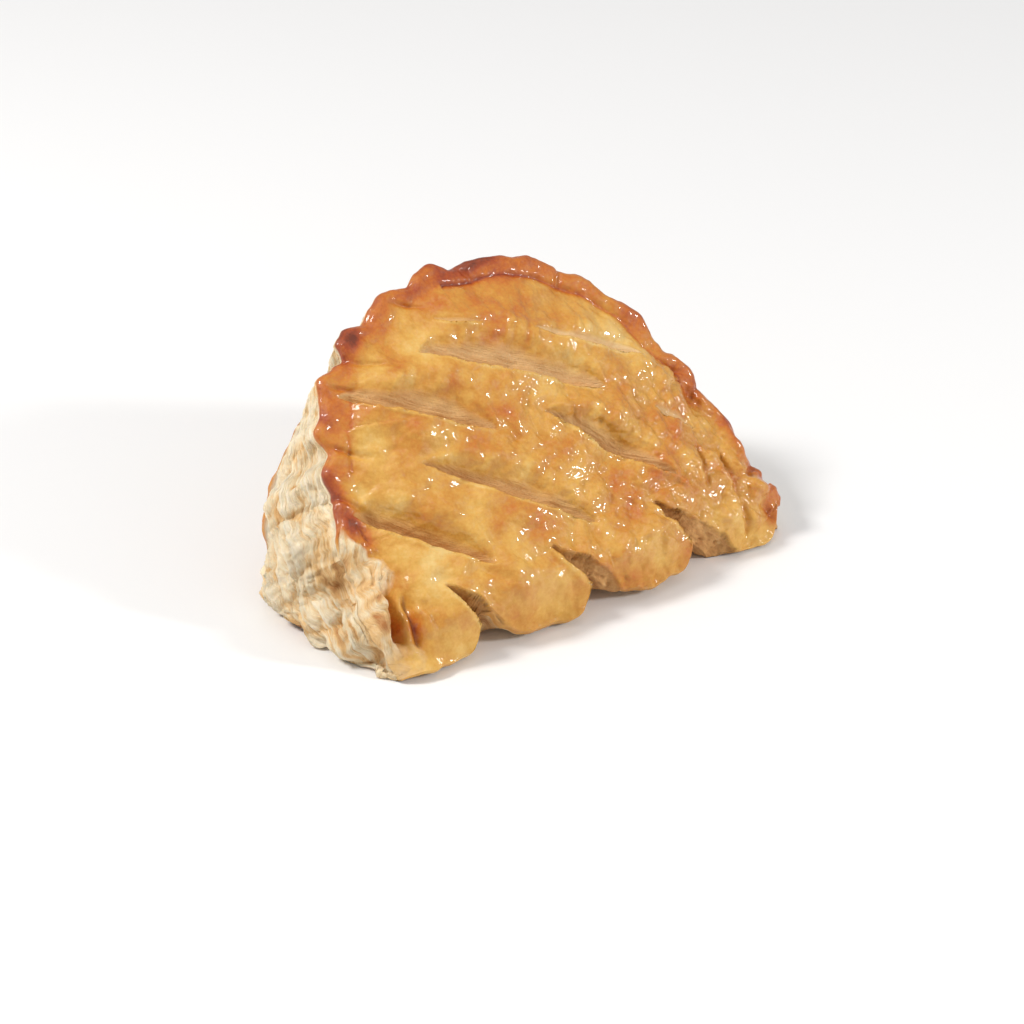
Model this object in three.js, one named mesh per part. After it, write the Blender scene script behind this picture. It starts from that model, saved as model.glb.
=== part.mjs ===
// A baked puff pastry turnover: a half-moon folded over once, crimped along its curved rim and
// scored with staggered slits. It stands on its puffed fold, with the scored face leaning back.
//
// Millimetres. +X runs along the fold from the left end to the right end, +Y points away from the
// scored face, +Z is up. The origin is at the middle of the footprint, on the surface below.

import * as THREE from 'three';
import { mergeVertices } from 'three/addons/utils/BufferGeometryUtils.js';

// ---- driving dimensions -------------------------------------------------------------------

const FOLD_LENGTH = 134; // straight folded edge at the front
const FACE_DEPTH = 104.5; // from the fold to the top of the rim, along the face
const FACE_TILT = THREE.MathUtils.degToRad(45); // the scored face leans back by this
const FACE_LIFT = 4; // the fold edge starts this far above the surface

// The rim is two quarter superellipses that meet at the highest point.
const RIM_PEAK_X = 68;
const RIM_LEFT_POWER = 2.6;
const RIM_RIGHT_POWER = 1.94;
const RIM_BAND_LEFT = 8; // width of the crimped band at the left end
const RIM_BAND_RIGHT = 4.5;
const RIM_GROOVE_DEPTH = 2.2;
const RIM_THICKNESS = 6;
const EDGE_ROUND = 0.9; // the rim's edge is rounded outward by this
const SCALLOP_DEPTH = 1.8;
const SCALLOP_PITCH_LEFT = 9;
const SCALLOP_PITCH_RIGHT = 16;

// The back sheet is a half-moon too, nearly upright, behind the base.
const BACK_DEPTH = 60; // from the fold to the back sheet, on the surface below
const BACK_LEAN = THREE.MathUtils.degToRad(11); // from upright
const BACK_HEIGHT = 66; // the rim stands out beyond its upper edge
const BACK_POWER = 2.2;
const BACK_BULGE = 4;
const END_OVERHANG = 6.5; // how far the layered left end reaches past the fold
const END_SWELL = 4; // and how far its foot swells beyond that
const WALL_BULGE = 0.16; // as a share of the wall's height
const BASE_INSET = 4; // rounding between the walls and the flat base

const PUFF = 8; // how far the face swells above its rim
const PUFF_REACH = 13; // over what distance from the rim it does
const FOLD_ROUND = 14; // the face turns down over this distance at the fold
const FOLD_DROP = 8;
const FOOT_SETBACK = 10; // the base starts this far behind the fold
const FOOT_CORNER = 5; // but only this far at the two corners
const FOOT_EASE = 0.4; // the setback grows this much per millimetre from a corner

const LAYER_PITCH = 8; // laminated layers on the end wall
const LAYER_DEPTH = 1.2;

// Slits through the top sheet: middle of the lower lip along the fold and up the face, length,
// angle and opening. The last three run out over the fold and part it into flaps.
const SLITS = [
  { x: 20.2, t: 32.6, length: 41, angle: -43, width: 5.5 },
  { x: 49.9, t: 35.9, length: 54, angle: -38, width: 5.5 },
  { x: 85.5, t: 38.9, length: 42, angle: -46, width: 5.5 },
  { x: 111.1, t: 40.5, length: 13, angle: -42, width: 3.0 },
  { x: 34.9, t: 66.4, length: 44, angle: -33, width: 5.5 },
  { x: 68.3, t: 68.7, length: 54, angle: -30, width: 6.5 },
  { x: 95.8, t: 69.7, length: 34, angle: -29, width: 5.0 },
  { x: 59.7, t: 88.1, length: 15, angle: -24, width: 3.0 },
  { x: 23.5, t: 10.5, length: 21, angle: -60, width: 6.0 },
  { x: 58.5, t: 10.5, length: 22, angle: -52, width: 6.0 },
  { x: 96.5, t: 10.5, length: 24, angle: -52, width: 6.5 },
];
const SLIT_DEPTH = 5;
const SLIT_LIP = 0.8;
const SLIT_FALL = 2.2; // the lower side drops from the lip over this distance
const SLIT_BOW = 1.2; // the lower lip curves by this

const NOTCHES_X = [29, 65, 102]; // where the front slits cut the fold edge
const NOTCH_DEPTH = 6.5;
const NOTCH_WIDTH = 4.2;
const NOTCH_REACH = 30; // the notches draw in the face up to this far above the fold
const FLAP_SAG = 1.2;
const FLAP_THICKNESS = 3;

// Lumps on the face: centre, half-lengths across and up, height, turn in degrees.
const LUMPS = [
  { x: 2.5, t: 17, across: 3.2, up: 8.5, height: 5.0, turn: 8 }, // curled corner
  { x: 11, t: 12, across: 3.0, up: 7, height: 2.2, turn: 10 },
  { x: 117, t: 25, across: 3.6, up: 8, height: 3.2, turn: -20 }, // knobs at the right tip
  { x: 126, t: 20, across: 3.2, up: 7, height: 3.2, turn: -25 },
  { x: 128, t: 8, across: 4.5, up: 3.5, height: 3.0, turn: 0 },
  { x: 117, t: 8, across: 4.0, up: 4.0, height: 2.0, turn: 0 },
];

const CRUST_COLOUR = 0xdfa85a;

// ---- mesh density -------------------------------------------------------------------------

const RIM_COLUMNS = 84;
const FOLD_COLUMNS = 36;
const FACE_ROWS = 28;
const EDGE_ROWS = 2;
const WALL_ROWS = 7;
const BACK_ROWS = 5;
const BASE_ROWS = 2;

// ---- small helpers ------------------------------------------------------------------------

const { clamp } = THREE.MathUtils;
const clamp01 = (v) => clamp(v, 0, 1);
const smooth = (v) => clamp01(v) ** 2 * (3 - 2 * clamp01(v));
const mix = (a, b, f) => a + (b - a) * f;
const signedPower = (v, p) => Math.sign(v) * Math.abs(v) ** p;

// A quiet waviness made of a few sines, between about -1 and 1.
function waviness(x, y) {
  return (
    0.5 * Math.sin(0.13 * x + 0.21 * y + 1.3) +
    0.3 * Math.sin(0.31 * x - 0.17 * y + 0.4) +
    0.2 * Math.sin(0.11 * x + 0.47 * y + 2.1)
  );
}

// A point of the face: x along the fold, t up the face, n out of the face.
function facePoint(x, t, n) {
  const y = t * Math.cos(FACE_TILT) - n * Math.sin(FACE_TILT);
  const z = t * Math.sin(FACE_TILT) + n * Math.cos(FACE_TILT) + FACE_LIFT;
  return new THREE.Vector3(x, y, z);
}

// Evenly spaced points along a polyline, both ends kept.
function resample(points, count) {
  const lengths = [0];
  for (let i = 1; i < points.length; i += 1) {
    lengths.push(lengths[i - 1] + points[i].distanceTo(points[i - 1]));
  }
  const total = lengths[lengths.length - 1];
  let k = 1;
  return Array.from({ length: count }, (_, i) => {
    const goal = (total * i) / (count - 1);
    while (k < points.length - 1 && lengths[k] < goal) k += 1;
    const f = (goal - lengths[k - 1]) / (lengths[k] - lengths[k - 1]);
    return points[k - 1].clone().lerp(points[k], clamp01(f));
  });
}

// Evenly numbered points out of a list, both ends kept.
function pick(points, count) {
  return Array.from({ length: count }, (_, i) => points[Math.round((i * (points.length - 1)) / (count - 1))]);
}

// ---- outline of the face ------------------------------------------------------------------

// The rim from the left corner over the top to the right corner, without its scallops.
function plainRim() {
  const points = [];
  const steps = 400;
  for (let i = 0; i <= steps; i += 1) {
    const angle = Math.PI * (1 - i / steps);
    const onLeft = angle > Math.PI / 2;
    const reach = onLeft ? RIM_PEAK_X : FOLD_LENGTH - RIM_PEAK_X;
    const power = onLeft ? RIM_LEFT_POWER : RIM_RIGHT_POWER;
    const x = RIM_PEAK_X + reach * signedPower(Math.cos(angle), 2 / power);
    const t = FACE_DEPTH * Math.abs(Math.sin(angle)) ** (2 / power);
    points.push(new THREE.Vector2(x, t));
  }
  return points;
}

// Scallops push the rim out and in; their pitch grows from the left end to the right end.
function scalloped(points) {
  let phase = 0.4;
  return points.map((point, i) => {
    const before = points[Math.max(0, i - 1)];
    const after = points[Math.min(points.length - 1, i + 1)];
    const outward = new THREE.Vector2(before.y - after.y, after.x - before.x).normalize();
    const along = i / (points.length - 1);
    phase += (2 * Math.PI * before.distanceTo(point)) / mix(SCALLOP_PITCH_LEFT, SCALLOP_PITCH_RIGHT, along);
    const fade = smooth(along / 0.08) * smooth((1 - along) / 0.06);
    const wave = Math.abs(Math.sin(phase / 2)) * 2 - 1.2;
    return point.clone().addScaledVector(outward, SCALLOP_DEPTH * fade * wave);
  });
}

// Draws the lower part of the face in at the notches and lets the flaps between them sag.
function foldShaped(point) {
  const { x, y: t } = point;
  let lift = 0;
  for (const notch of NOTCHES_X) {
    lift += NOTCH_DEPTH * Math.exp(-((Math.abs(x - notch) / NOTCH_WIDTH) ** 1.6));
  }
  const flap = Math.sin((Math.PI * (x + 6)) / 36.5) ** 2;
  lift -= FLAP_SAG * flap * smooth(x / 10) * smooth((FOLD_LENGTH - x) / 10);
  return new THREE.Vector2(x, t + lift * clamp01(1 - t / NOTCH_REACH) ** 2);
}

// The outline as drawn, and a plain one without scallops that the inner rows follow.
const PLAIN_RIM = resample(plainRim(), 260);
const RIM = scalloped(PLAIN_RIM);
const FOLD = Array.from({ length: FOLD_COLUMNS + 1 }, (_, i) => {
  return new THREE.Vector2(FOLD_LENGTH * (1 - i / FOLD_COLUMNS), 0);
});
const loop = (rim) => [...pick(rim, RIM_COLUMNS + 1).slice(0, -1), ...FOLD.slice(0, -1)];
const OUTLINE = loop(RIM);
const PLAIN_OUTLINE = loop(PLAIN_RIM);
const FACE_CENTRE = new THREE.Vector2(67, 45);

// ---- relief of the face -------------------------------------------------------------------

function distanceToRim(x, t) {
  let nearest = Infinity;
  for (const point of RIM) nearest = Math.min(nearest, Math.hypot(point.x - x, point.y - t));
  return nearest;
}

// Place of a point against a slit: along it from -1 to 1, and across it from its lower lip.
function slitPlace(slit, x, t) {
  const angle = THREE.MathUtils.degToRad(slit.angle);
  const dx = x - slit.x;
  const dt = t - slit.t;
  const along = (dx * Math.cos(angle) + dt * Math.sin(angle)) / (slit.length / 2);
  const bow = SLIT_BOW * (1 - along * along);
  return { along, across: dt * Math.cos(angle) - dx * Math.sin(angle) + bow };
}

// A slit drops steeply from its lower lip; its upper side slopes up to a round shoulder.
function slitRelief(slit, x, t) {
  const { along, across } = slitPlace(slit, x, t);
  if (Math.abs(along) >= 1) return 0;
  const open = (1 - along * along) ** 0.7;
  const width = slit.width * open + 0.4;
  if (across < 0) return SLIT_LIP * open * Math.exp(across / 1.6);
  if (across > width * 1.6) return 0;
  const fall = smooth(across / SLIT_FALL);
  const slope = 1 - across / (width * 1.6);
  return open * (SLIT_LIP * (1 - fall) - SLIT_DEPTH * fall * smooth(slope * 1.25));
}

function lumpRelief(lump, x, t) {
  const turn = THREE.MathUtils.degToRad(lump.turn);
  const dx = x - lump.x;
  const dt = t - lump.t;
  const across = (dx * Math.cos(turn) - dt * Math.sin(turn)) / lump.across;
  const up = (dx * Math.sin(turn) + dt * Math.cos(turn)) / lump.up;
  return lump.height * Math.exp(-(across * across + up * up));
}

function faceHeight(x, t) {
  const rim = distanceToRim(x, t);
  const band = mix(RIM_BAND_LEFT, RIM_BAND_RIGHT, smooth(x / FOLD_LENGTH));
  const inside = smooth((rim - band * 0.4) / band);
  const swell = 1 - Math.exp(-(Math.max(0, rim - band) / PUFF_REACH));
  let n = PUFF * swell - FOLD_DROP * swell * clamp01(1 - t / FOLD_ROUND) ** 2;
  n -= RIM_GROOVE_DEPTH * Math.exp(-(((rim - band) / 2.2) ** 2));
  n += inside * waviness(x * 1.6, t * 1.6);
  for (const slit of SLITS) n += inside * slitRelief(slit, x, t);
  for (const lump of LUMPS) n += lumpRelief(lump, x, t);
  return n;
}

// ---- the rest of the body -----------------------------------------------------------------

// Where a column of the rim meets the back, and its foot on the base: first along the left end of
// the base, then over the half-moon edge of the back sheet, then along the right end of the base.
function backEdge(u) {
  const corner = 0.13;
  const leftX = -END_OVERHANG;
  const rightX = FOLD_LENGTH;
  if (u < corner) {
    const f = u / corner;
    const swell = END_SWELL * Math.sin(Math.PI * f ** 0.6);
    const edge = new THREE.Vector3(mix(1, leftX, f) - swell, mix(FOOT_CORNER, BACK_DEPTH, f), 1);
    return { edge, footX: edge.x };
  }
  if (u > 1 - corner) {
    const edge = new THREE.Vector3(rightX, mix(FOOT_CORNER, BACK_DEPTH, (1 - u) / corner), 1);
    return { edge, footX: rightX };
  }
  const over = (u - corner) / (1 - 2 * corner);
  const angle = Math.PI * (1 - over);
  const middle = (leftX + rightX) / 2;
  const x = middle + ((rightX - leftX) / 2) * signedPower(Math.cos(angle), 2 / BACK_POWER);
  const z = 1 + BACK_HEIGHT * Math.sin(angle) ** (2 / BACK_POWER);
  const edge = new THREE.Vector3(x, BACK_DEPTH + z * Math.tan(BACK_LEAN), z);
  return { edge, footX: mix(leftX, rightX, over) };
}

// The laminated edge between rim and back: layers run along the rim as ridges.
function wallPoint(from, to, f, along) {
  const point = from.clone().lerp(to, f);
  const span = from.distanceTo(to);
  const rise = 0.8 * Math.max(0, point.z - 20);
  const outward = new THREE.Vector3(point.x - FOLD_LENGTH / 2, rise, rise).normalize();
  const bulge = WALL_BULGE * span * Math.sin(Math.PI * f);
  const depth = LAYER_DEPTH * smooth(span / 25) * Math.sin(Math.PI * f);
  const layers = depth * Math.sin((2 * Math.PI * f * span) / LAYER_PITCH + 1.5 * waviness(along * 60, 0));
  return point.addScaledVector(outward, bulge + layers);
}

function backPoint(from, to, f) {
  const point = from.clone().lerp(to, f);
  point.y += BACK_BULGE * Math.sin(Math.PI * Math.sqrt(f)) * smooth(from.z / 40);
  return point;
}

// One column from the middle of the face, over the edge, down the outside to the base.
function columnPoints(index) {
  const plain = PLAIN_OUTLINE[index];
  const scallop = OUTLINE[index].clone().sub(plain);
  const points = [];
  for (let j = 1; j <= FACE_ROWS; j += 1) {
    const f = 1 - (1 - j / FACE_ROWS) ** 1.15;
    const at = foldShaped(FACE_CENTRE.clone().lerp(plain, f).addScaledVector(scallop, f ** 4));
    points.push(facePoint(at.x, at.y, faceHeight(at.x, at.y)));
  }
  const edge = foldShaped(OUTLINE[index]);
  const edgeHeight = faceHeight(edge.x, edge.y);
  const onRim = index < RIM_COLUMNS;
  const u = onRim ? index / RIM_COLUMNS : 0;
  const foldX = mix(FOLD_LENGTH, 1, (index - RIM_COLUMNS) / FOLD_COLUMNS);
  const fromCorner = Math.min(foldX, FOLD_LENGTH - foldX);
  const setback = clamp(FOOT_CORNER + FOOT_EASE * (fromCorner - 8), FOOT_CORNER, FOOT_SETBACK);
  const { edge: end, footX } = onRim
    ? backEdge(u)
    : { edge: new THREE.Vector3(foldX, setback, 1), footX: foldX };
  const outward = edge.clone().sub(FACE_CENTRE).normalize();
  const room = points[points.length - 1].z / Math.cos(FACE_TILT) - 2;
  const thickness = Math.min(onRim ? RIM_THICKNESS : FLAP_THICKNESS, room);
  for (let j = 1; j <= EDGE_ROWS; j += 1) {
    const f = j / EDGE_ROWS;
    const round = onRim ? EDGE_ROUND * Math.sin(Math.PI * f) : 0;
    const at = edge.clone().addScaledVector(outward, round);
    points.push(facePoint(at.x, at.y, edgeHeight - thickness * f));
  }
  const start = points[points.length - 1].clone();
  for (let j = 1; j <= WALL_ROWS; j += 1) {
    const f = j / WALL_ROWS;
    points.push(onRim ? wallPoint(start, end, f, u) : start.clone().lerp(end, f));
  }
  const middle = new THREE.Vector3(FOLD_LENGTH / 2, BACK_DEPTH / 2, 0);
  const ground = new THREE.Vector3(footX, Math.min(end.y, BACK_DEPTH), 0);
  const inward = middle.clone().sub(ground).normalize();
  ground.addScaledVector(inward, BASE_INSET);
  for (let j = 1; j <= BACK_ROWS; j += 1) {
    points.push(backPoint(end, ground, j / BACK_ROWS));
  }
  for (let j = 1; j < BASE_ROWS; j += 1) {
    points.push(ground.clone().lerp(middle, j / BASE_ROWS));
  }
  for (const point of points) point.z = Math.max(point.z, 0);
  return points;
}

// ---- the closed body ----------------------------------------------------------------------

// Two triangles for a quad, split along its shorter diagonal.
function splitQuad(points, a, b, c, d) {
  const acIsShorter = points[a].distanceTo(points[c]) < points[b].distanceTo(points[d]);
  return acIsShorter ? [a, b, c, a, c, d] : [a, b, d, b, c, d];
}

function turnoverGeometry() {
  const columns = OUTLINE.map((_, index) => columnPoints(index));
  const rows = columns[0].length;
  const front = facePoint(FACE_CENTRE.x, FACE_CENTRE.y, faceHeight(FACE_CENTRE.x, FACE_CENTRE.y));
  const bottom = new THREE.Vector3(FOLD_LENGTH / 2, BACK_DEPTH / 2, 0);
  const points = [front, ...columns.flat(), bottom];
  const last = points.length - 1;
  const at = (column, row) => 1 + (column % columns.length) * rows + row;
  const triangles = [];
  for (let i = 0; i < columns.length; i += 1) {
    triangles.push(0, at(i + 1, 0), at(i, 0));
    for (let j = 0; j < rows - 1; j += 1) {
      triangles.push(...splitQuad(points, at(i, j), at(i + 1, j), at(i + 1, j + 1), at(i, j + 1)));
    }
    triangles.push(last, at(i, rows - 1), at(i + 1, rows - 1));
  }
  const geometry = new THREE.BufferGeometry().setFromPoints(points);
  geometry.setIndex(triangles);
  return mergeVertices(geometry, 1e-4);
}

// Puts the origin at the middle of the footprint.
function centred(geometry) {
  geometry.computeBoundingBox();
  const { min, max } = geometry.boundingBox;
  geometry.translate(-(min.x + max.x) / 2, -(min.y + max.y) / 2, -min.z);
  geometry.computeVertexNormals();
  return geometry;
}

const crust = new THREE.MeshStandardMaterial({ color: CRUST_COLOUR, roughness: 0.45, metalness: 0 });
const turnover = new THREE.Mesh(centred(turnoverGeometry()), crust);
turnover.name = 'turnover';

const model = new THREE.Group();
model.add(turnover);

export default model;
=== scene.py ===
"""A baked puff pastry turnover: scored glazed face, crimped rim and laminated ends.

The body is drawn in millimetres in the same drawing frame as the solid: x along the fold from
its left end, y away from the scored face, z up. A face point is (x, t, n): x along the fold, t up
the sloping face and n out of it.
"""

import math

import bpy
import numpy as np
from mathutils import Matrix, Vector


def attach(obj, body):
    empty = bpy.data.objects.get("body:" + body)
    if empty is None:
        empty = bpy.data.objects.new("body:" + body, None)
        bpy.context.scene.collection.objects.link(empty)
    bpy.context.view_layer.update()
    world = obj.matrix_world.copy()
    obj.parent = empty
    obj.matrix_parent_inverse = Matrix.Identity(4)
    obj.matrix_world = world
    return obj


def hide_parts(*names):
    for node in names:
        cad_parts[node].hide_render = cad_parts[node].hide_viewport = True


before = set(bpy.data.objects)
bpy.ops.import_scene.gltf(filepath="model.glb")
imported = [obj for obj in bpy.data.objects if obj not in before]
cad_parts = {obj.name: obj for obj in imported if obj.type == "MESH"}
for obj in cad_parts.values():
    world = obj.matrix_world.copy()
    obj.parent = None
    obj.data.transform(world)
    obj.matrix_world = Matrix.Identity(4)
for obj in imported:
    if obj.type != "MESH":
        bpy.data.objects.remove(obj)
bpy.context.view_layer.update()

# ---- sizes, in millimetres ----

FOLD_LENGTH = 134.0
FACE_DEPTH = 104.5
FACE_TILT = math.radians(45)
FACE_LIFT = 4.0
RIM_PEAK_X = 68.0
RIM_LEFT_POWER = 2.6
RIM_RIGHT_POWER = 1.94
FACE_CENTRE = (67.0, 45.0)
ORIGIN = (64.74, 39.01)  # the middle of the footprint, in the drawing

# How far the scalloped edge stands outside the plain rim: (place along the rim, offset).
SCALLOPS = [
    (0, 0), (8, 1.2), (14, 3.2), (20, 3.6), (25, 2.6), (30, 0.8), (33, 2.2), (39, 3.4), (47, 2.0),
    (54, 1.1), (60, 3.2), (65.5, 0.4), (71.5, 4.3), (76.5, 2.4), (80.5, 2.9), (85.5, 4.4),
    (91, 0.6), (94.5, -1.6),
    (98, 2.2), (102.5, 2.0), (108.5, -1.5), (114, -0.2), (118.5, 1.0), (122, 0.2), (127.5, -1.6),
    (132, 0.8), (137, 1.9), (143.5, -1.4), (149, -0.4), (155, 0.4), (163, 1.6), (168, 2.8),
    (173, 2.4), (178, 1.7), (184, 3.2), (188, 3.2), (194, 2.2), (199, 3.4), (204, 3.6), (210, 1.2),
    (215.5, -0.2), (220, 1.6), (225, 2.2), (230.5, -0.4), (237, 0.2), (243, 0.8), (249, -1.8),
    (254, -1.4), (259, 0.2), (262, 0.6), (265, -1.4), (270, 2.4), (274, 2.0), (278.2, 0.4),
]

# Along the rim, where the crimp's creases start, are full, ease off and end.
LEFT_CREASE = (56, 62, 80, 88)
RIGHT_CREASE = (134, 144, 226, 238)
SCALLOP_FADE = 5  # the scallops fade out of the face's grid with this power of its radius

RIM_BAND_LEFT = 7.6  # width of the crimped band at the left end
RIM_BAND = 5.2
BAND_SWAY = 0.9  # and how far its inner side wanders
EDGE_ROUND = (1.8, 7.5)  # the rim's edge rounds off over this, crimped and at its open end
EDGE_FALL = (1.2, 6.0)  # and falls by this
RIM_LAYER_PITCH = 2.0  # of the layers at its open end
OPEN_END = (46, 30)  # along the rim: crimped past the first, open into its layers below the second
PUFF = 8.0  # the face swells above its rim by this
PUFF_REACH = 11.5  # how far in it takes
PUFF_START = 2.5  # and how gently it starts
FOLD_ROUND = 14.0  # and turns down over this distance at the fold
FOLD_DROP = 8.0

# Slits through the top sheet: middle of the lower lip (x, t), length, angle, width, depth and how
# dark the cut layers look, partly their own tone and partly painted shade.
SLITS = [
    (20.2, 32.6, 41, -43, 7.6, 7.8, 0.70),
    (49.9, 35.9, 54, -38, 6.6, 5.8, 0.62),
    (85.5, 38.9, 43, -46, 6.8, 6.4, 0.48),
    (111.1, 40.5, 14, -42, 3.2, 1.8, 0.20),
    (34.9, 66.4, 46, -33, 7.8, 7.0, 0.50),
    (68.3, 68.7, 56, -30, 9.0, 7.4, 0.35),
    (95.8, 69.7, 36, -29, 4.0, 2.2, 0.15),
    (59.7, 88.1, 15, -24, 1.8, 0.7, 0.10),
]
SLIT_LIP = 0.9  # the lower lip stands up by this
SLIT_BOW = 1.2
SLIT_LEAST = 0.6
# Front slits that run out over the fold: upper end (x, t), length, angle, width at the fold.
FRONT_SLITS = [(18.6, 19.5, 24, -58, 4.6), (52.6, 18.5, 24, -52, 5.6), (89.5, 20.0, 26, -52, 6.6)]
FRONT_DEPTH = 7.0
FRONT_BOW = 1.6
FRONT_END = 1.5  # in lengths of the slit, well past the fold
LIP_SNAP = 0.3  # grid points as close as this to a lip are drawn onto it
SNAP_SHARE = 0.95
EDGE_KEPT = 0.985  # but the grid's outermost points stay where they are
PUCKER_PITCH = 3.6  # puckers on the shoulder over a slit

# Where the front slits cut the fold: place, depth, reach to the left and to the right.
NOTCHES = [(27.6, 8.0, 2.4, 6.0), (63.4, 7.5, 2.6, 6.0), (99.8, 8.0, 2.6, 6.5)]
NOTCH_POWER = 1.8  # 2 is a bell, less is more pointed
NOTCH_REACH = 30.0  # the notches draw in the face up to this far above the fold
TIP_CUT = 7.0  # the right corner of the fold is rounded off by this
TIP_REACH = 7.0
FLAP_SAG = 1.6
FLAP_START = -6.0
FLAP_PITCH = 36.5
FLAP_EASE = 10.0  # the flaps' waves die out this close to the corners
# Ripples along the fold and along the back sheet's edge: height, length, seed.
FOLD_RIPPLES = ((0.55, 3.2, 5), (0.8, 8.0, 6))
BACK_RIPPLES = ((1.3, 13.0, 62), (0.6, 5.0, 63))
RIPPLE_CENTRE = 12.0  # the back sheet's ripples point away from this height

EDGE_THICK = 3.2  # of the sheet round the rim, at the rim's open end and along the fold
EDGE_THICK_OPEN = 2.0
EDGE_THICK_FOLD = 3.4
EDGE_BULGE = 0.9
BACK_DEPTH = 60.0
BACK_LEAN = math.radians(11)
BACK_HEIGHT = 66.0
BACK_POWER = 2.2  # of the back sheet's rounded outline, 2 being an ellipse
BACK_BULGE = 4.0
BACK_ROUND = 5.0  # how far in from its outline the back sheet turns over
BACK_TURN = 3.0
END_OVERHANG = 6.5  # the left end reaches this far past the fold
END_SWELL = 4.0
WALL_BULGE = 0.16  # as a share of the wall's height
LAYER_PITCHES = (5.6, 2.2, 1.6)  # the end wall's big and small ridges and its thin leaves
GRAIN_STRETCH = 2.2  # the layers' colour changes this much faster across them
FOOT_START = 1.0  # the base starts this far from the left corner
FOOT_HEIGHT = 1.0  # the walls turn under at this height
FOOT_SETBACK = 10.0  # the base starts this far behind the fold
FOOT_CORNER = 5.0  # but only this far at the two corners
FOOT_EASE = 0.4
FOOT_EASE_FROM = 8.0
BASE_INSET = 4.0
MM_PER_M = 1000
CORNER = 0.13  # share of the rim whose columns end on the ground at either end

CELLS = 250  # along each side of the face's grid
EDGE_ROWS = 7
WALL_ROWS = 68
BACK_ROWS = 34
BASE_ROWS = 3
RIM_SMOOTHINGS = 240

# ---- camera ----

PHOTO_SIZE = 1024
VIEW_AZIMUTH = math.radians(-36)
VIEW_ELEVATION = math.radians(31)
VIEW_DISTANCE = 1090.0
FOCAL_PIXELS = 4000.0
SENSOR_MM = 36.0
AIM_POINT = (2.0, 2.0, 0.5)  # the near corner of the fold
AIM_PIXEL = (409.0, 681.0)
CLIP = (0.05, 20)  # metres, as are the lights' sizes

# ---- light ----

WORLD_STRENGTH = 0.47
LIGHT_TARGET = (0, 0, 0.035)
LIGHTS = [  # name, direction, distance, size, watts, colour
    ("key", (-0.62, 0.30, 0.80), 1.1, (0.26, 0.26), 8.6, (1.0, 0.98, 0.95)),
    ("fill", (0.72, -0.95, 0.60), 1.3, (0.13, 0.20), 8.0, (1.0, 0.99, 0.97)),
    ("top", (0.0, -0.1, 1.0), 1.2, (0.6, 0.6), 1.0, (1.0, 1.0, 1.0)),
]
FLOOR_HALF = 4.0
FLOOR_DROP = 0.0002  # just below the foot, so that the two don't share a plane


# ---- small helpers ----

SAW_TOP = 0.82  # where in its period the layers' ridge is highest
MOST_CELLS = 9.0  # further than any nearest point
CHUNK = 4000  # points at a time
TINY = 1e-9


def clamp01(v):
    return np.clip(v, 0.0, 1.0)


def smooth(v):
    v = clamp01(v)
    return v * v * (3 - 2 * v)


def step(v, start, end):
    """A smooth rise from 0 at start to 1 at end, which may lie before start."""
    return smooth((v - start) / (end - start))


def between(v, start, full, ease, end):
    """1 from full to ease, fading to 0 at start and at end."""
    return step(v, start, full) * step(v, end, ease)


def mix(a, b, f):
    return a + (b - a) * f


def bell(v):
    return np.exp(-v * v)


def lattice(ix, iy, iz, seed):
    """A repeatable pseudo-random value from 0 to 1 for each whole-number cell."""
    h = ix.astype(np.uint32) * np.uint32(374761393)
    h = h ^ (iy.astype(np.uint32) * np.uint32(668265263))
    h = h ^ (iz.astype(np.uint32) * np.uint32(2246822519))
    h = h + np.uint32((seed * 3266489917) % 4294967296)
    h = (h ^ (h >> np.uint32(15))) * np.uint32(2246822519)
    h = (h ^ (h >> np.uint32(13))) * np.uint32(3266489917)
    return (h ^ (h >> np.uint32(16))).astype(np.float64) / 4294967296.0


def noise(p, size, seed):
    """Smooth noise between -1 and 1 at points p (n, 3), with lumps about size across."""
    q = p / size
    cell = np.floor(q)
    f = q - cell
    f = f * f * f * (f * (f * 6 - 15) + 10)
    c = cell.astype(np.int64)
    total = 0.0
    for dx in (0, 1):
        wx = f[:, 0] if dx else 1 - f[:, 0]
        for dy in (0, 1):
            wy = f[:, 1] if dy else 1 - f[:, 1]
            for dz in (0, 1):
                wz = f[:, 2] if dz else 1 - f[:, 2]
                corner = lattice(c[:, 0] + dx, c[:, 1] + dy, c[:, 2] + dz, seed)
                total = total + wx * wy * wz * corner
    return total * 2 - 1


def fbm(p, size, seed, octaves=3):
    total, weight, gain = 0.0, 0.0, 1.0
    for k in range(octaves):
        total = total + gain * noise(p, size / 2**k, seed + 17 * k)
        weight += gain
        gain *= 0.5
    return total / weight * 1.4


def spots(p, size, seed):
    """Distance in cell units to the nearest scattered point, and that point's random value."""
    q = p / size
    c = np.floor(q).astype(np.int64)
    best = np.full(len(p), MOST_CELLS)
    value = np.zeros(len(p))
    for dx in (-1, 0, 1):
        for dy in (-1, 0, 1):
            for dz in (-1, 0, 1):
                cx, cy, cz = c[:, 0] + dx, c[:, 1] + dy, c[:, 2] + dz
                px = cx + lattice(cx, cy, cz, seed)
                py = cy + lattice(cx, cy, cz, seed + 1)
                pz = cz + lattice(cx, cy, cz, seed + 2)
                d = np.sqrt((q[:, 0] - px) ** 2 + (q[:, 1] - py) ** 2 + (q[:, 2] - pz) ** 2)
                nearer = d < best
                best = np.where(nearer, d, best)
                value = np.where(nearer, lattice(cx, cy, cz, seed + 3), value)
    return best, value


def saw(v):
    """A ridge that rises slowly and drops quickly, 0 to 1."""
    f = v - np.floor(v)
    return np.where(f < SAW_TOP, f / SAW_TOP, (1 - f) / (1 - SAW_TOP))


def flat(x, y):
    return np.stack([x, y, np.zeros_like(x)], 1)


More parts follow.
